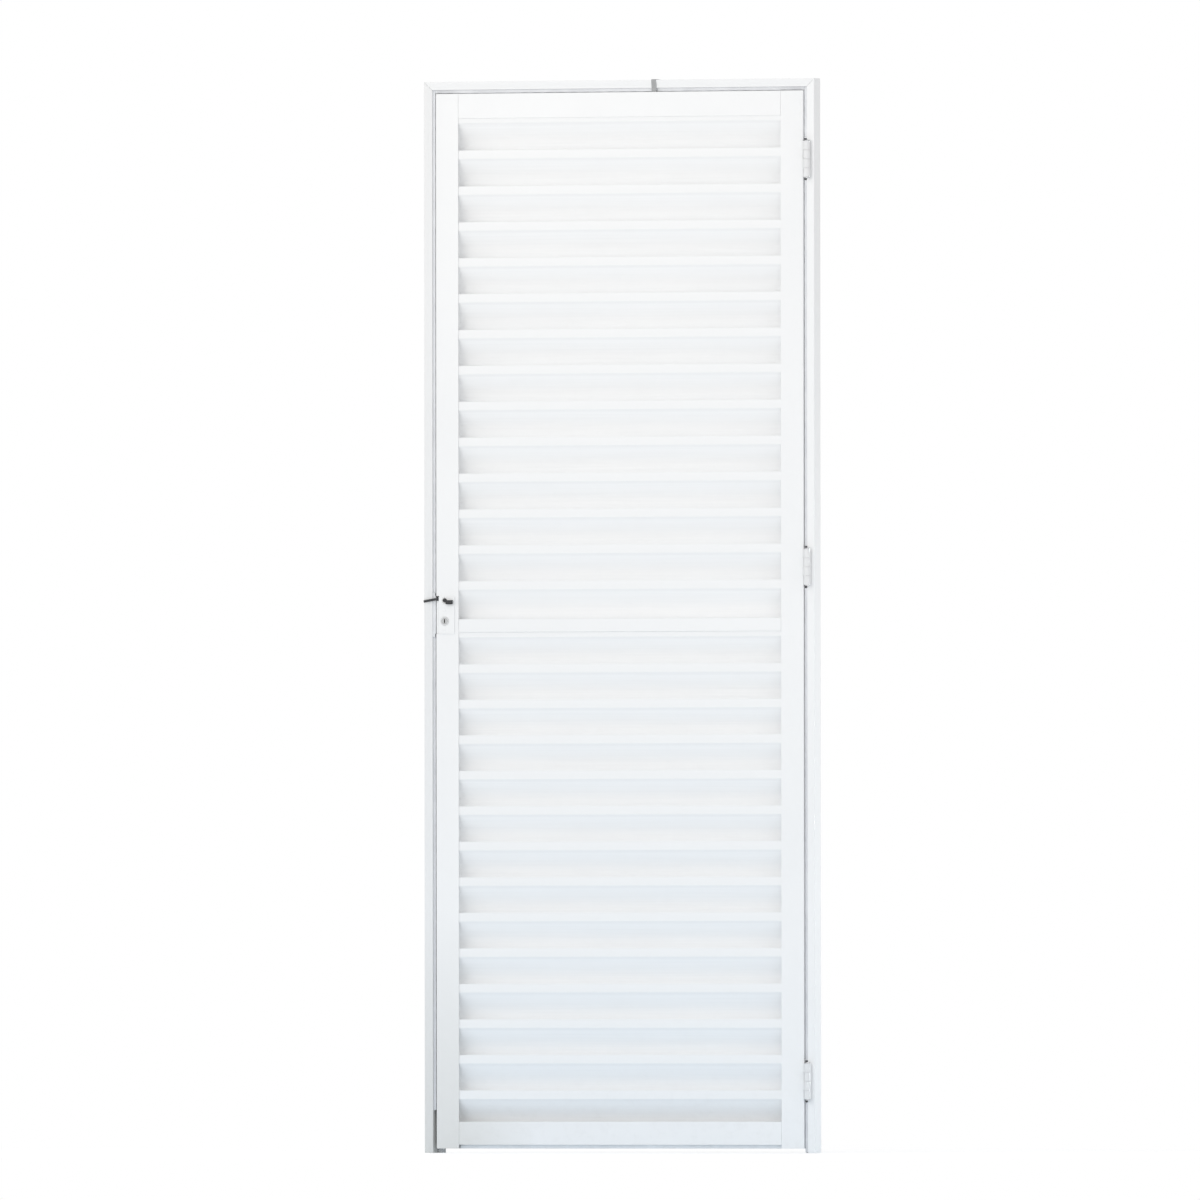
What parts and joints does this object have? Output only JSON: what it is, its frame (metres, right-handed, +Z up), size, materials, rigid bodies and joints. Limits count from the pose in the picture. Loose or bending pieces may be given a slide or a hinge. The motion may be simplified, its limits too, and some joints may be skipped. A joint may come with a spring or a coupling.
{
  "type": "louvered door",
  "caption": "White aluminium swing door with fixed louver slats, hung on butt hinges in its own three-sided frame, with a narrow-stile latch and key lock.",
  "frame": {"origin": "middle of the frame's foot, at floor level, half way through its depth from hinge barrels to back face", "axes": "+X across the doorway to the hinge side, +Y through the doorway away from the side the leaf opens to, +Z up"},
  "size_m": [0.8, 0.0514, 2.1],
  "materials": {
    "frame_white_coat": "satin white powder coat on aluminium",
    "leaf_white_coat": "satin white powder coat on aluminium",
    "seal_rubber": "matte grey",
    "sweep_rubber": "matte pale grey",
    "lock_steel": "zinc-plated, satin",
    "cylinder_brass": "satin nickel over brass"
  },
  "bodies": {
    "frame": {"lock_jamb": "frame_white_coat", "hinge_jamb": "frame_white_coat", "head_jamb": "frame_white_coat", "strike_plate": "lock_steel", "lock_side_seal": "seal_rubber", "hinge_side_seal": "seal_rubber", "head_seal": "seal_rubber", "top_hinge_frame_plate": "frame_white_coat", "middle_hinge_frame_plate": "frame_white_coat", "bottom_hinge_frame_plate": "frame_white_coat", "top_hinge_pin": "lock_steel", "middle_hinge_pin": "lock_steel", "bottom_hinge_pin": "lock_steel"},
    "leaf": {"lock_stile": "leaf_white_coat", "hinge_stile": "leaf_white_coat", "top_rail": "leaf_white_coat", "mid_rail": "leaf_white_coat", "bottom_rail": "leaf_white_coat", "bottom_sweep": "sweep_rubber", "upper_slat_01": "leaf_white_coat", "upper_slat_02": "leaf_white_coat", "upper_slat_03": "leaf_white_coat", "upper_slat_04": "leaf_white_coat", "upper_slat_05": "leaf_white_coat", "upper_slat_06": "leaf_white_coat", "upper_slat_07": "leaf_white_coat", "upper_slat_08": "leaf_white_coat", "upper_slat_09": "leaf_white_coat", "upper_slat_10": "leaf_white_coat", "upper_slat_11": "leaf_white_coat", "upper_slat_12": "leaf_white_coat", "upper_slat_13": "leaf_white_coat", "upper_slat_14": "leaf_white_coat", "lower_slat_01": "leaf_white_coat", "lower_slat_02": "leaf_white_coat", "lower_slat_03": "leaf_white_coat", "lower_slat_04": "leaf_white_coat", "lower_slat_05": "leaf_white_coat", "lower_slat_06": "leaf_white_coat", "lower_slat_07": "leaf_white_coat", "lower_slat_08": "leaf_white_coat", "lower_slat_09": "leaf_white_coat", "lower_slat_10": "leaf_white_coat", "lower_slat_11": "leaf_white_coat", "lower_slat_12": "leaf_white_coat", "lower_slat_13": "leaf_white_coat", "lower_slat_14": "leaf_white_coat", "top_hinge_door_plate": "frame_white_coat", "middle_hinge_door_plate": "frame_white_coat", "bottom_hinge_door_plate": "frame_white_coat", "lock_case": "lock_steel", "lock_faceplate": "lock_steel", "front_escutcheon": "leaf_white_coat", "rear_escutcheon": "leaf_white_coat", "lock_cylinder": "cylinder_brass", "latch_spring": "lock_steel"},
    "latch": {"latch_bolt": "lock_steel"},
    "follower": {"lock_follower": "lock_steel"},
    "dead_bolt": {"dead_bolt": "lock_steel"},
    "key_plug": {"key_plug": "cylinder_brass"}
  },
  "joints": [
    {"name": "door_swing", "type": "hinge", "parent": "frame", "child": "leaf", "pos_m": [0.38675, -0.01915, 0], "axis": [0, 0, 1], "range_deg": [0, 180]},
    {"name": "follower_turn", "type": "hinge", "parent": "leaf", "child": "follower", "pos_m": [-0.3585, 0.00315, 1.083], "axis": [0, -1, 0], "range_deg": [0, 28]},
    {"name": "latch_slide", "type": "slide", "parent": "leaf", "child": "latch", "axis": [1, 0, 0], "range_m": [0, 0.0065], "stiffness_N_per_m": 300, "springref_m": -0.01, "deforming": ["latch_spring"]},
    {"name": "key_turn", "type": "hinge", "parent": "leaf", "child": "key_plug", "pos_m": [-0.3585, 0.00315, 1.04245], "axis": [0, 1, 0], "range_deg": [0, 60]},
    {"name": "dead_bolt_slide", "type": "slide", "parent": "leaf", "child": "dead_bolt", "axis": [-1, 0, 0], "range_m": [0, 0.016]}
  ],
  "couplings": [
    {"joint": "follower_turn", "follows": "latch_slide", "rad_per_m": 75.1},
    {"joint": "key_turn", "follows": "dead_bolt_slide", "rad_per_m": 65.4}
  ]
}
